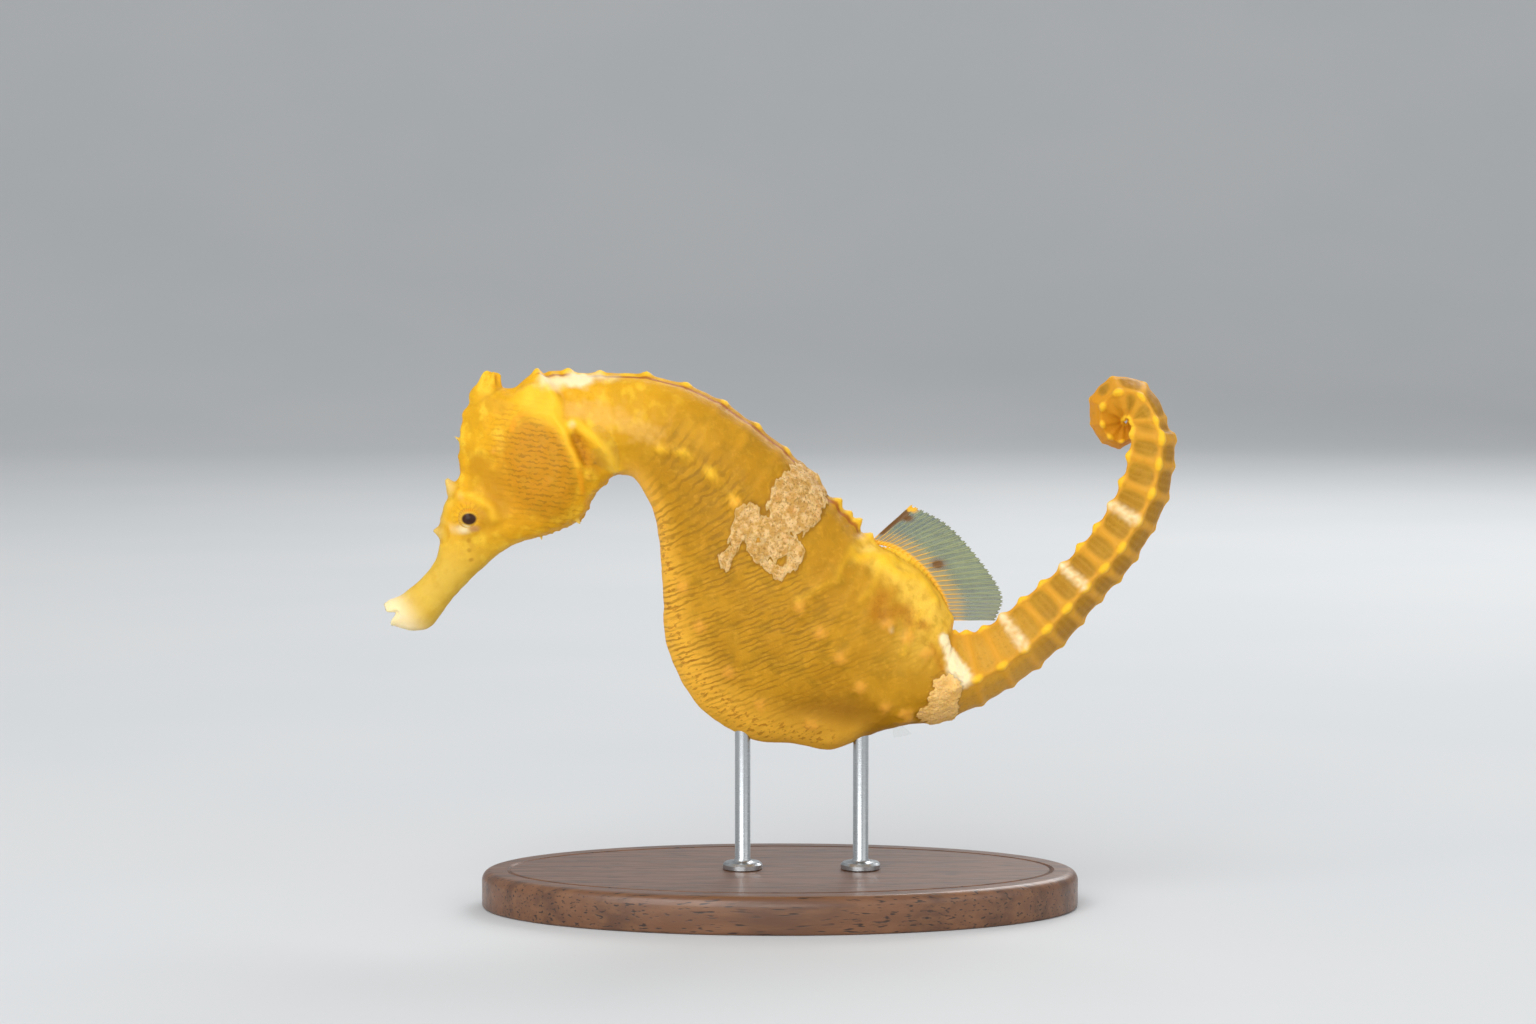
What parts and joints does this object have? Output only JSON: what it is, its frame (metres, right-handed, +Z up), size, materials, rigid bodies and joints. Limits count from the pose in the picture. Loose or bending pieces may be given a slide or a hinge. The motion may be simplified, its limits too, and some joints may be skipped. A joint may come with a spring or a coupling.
{
  "type": "seahorse",
  "caption": "Life-size big-bellied seahorse swimming level, snout down and tail curled up, held over an oval base by two short rods.",
  "frame": {"origin": "middle of the underside of the stand's base", "axes": "+Z up, -X the way the snout points, +X towards the tail, -Y the animal's left side"},
  "size_m": [0.1268, 0.052, 0.0867],
  "materials": {
    "skin": "moist mustard-yellow skin over bony rings",
    "eye": "wet, glossy",
    "fin": "clear membrane with fine rays",
    "wood": "satin walnut",
    "steel": "satin"
  },
  "bodies": {
    "root": {"upper_lip": "skin", "lower_jaw": "skin", "snout": "skin", "head": "skin", "gill_cover_left": "skin", "gill_cover_right": "skin", "coronet": "skin", "neck": "skin", "chest": "skin", "belly": "skin", "loin": "skin", "tail_root": "skin", "tail_low": "skin", "tail_middle": "skin", "tail_high": "skin", "tail_bend": "skin", "tail_curl": "skin", "tail_tip": "skin", "dorsal_fin_root": "skin", "eye_left": "eye", "eye_right": "eye", "dorsal_fin": "fin", "pectoral_fin_left": "fin", "pectoral_fin_right": "fin", "anal_fin": "fin", "stand_base": "wood", "stand_rod_front": "steel", "stand_rod_rear": "steel"}
  },
  "joints": []
}
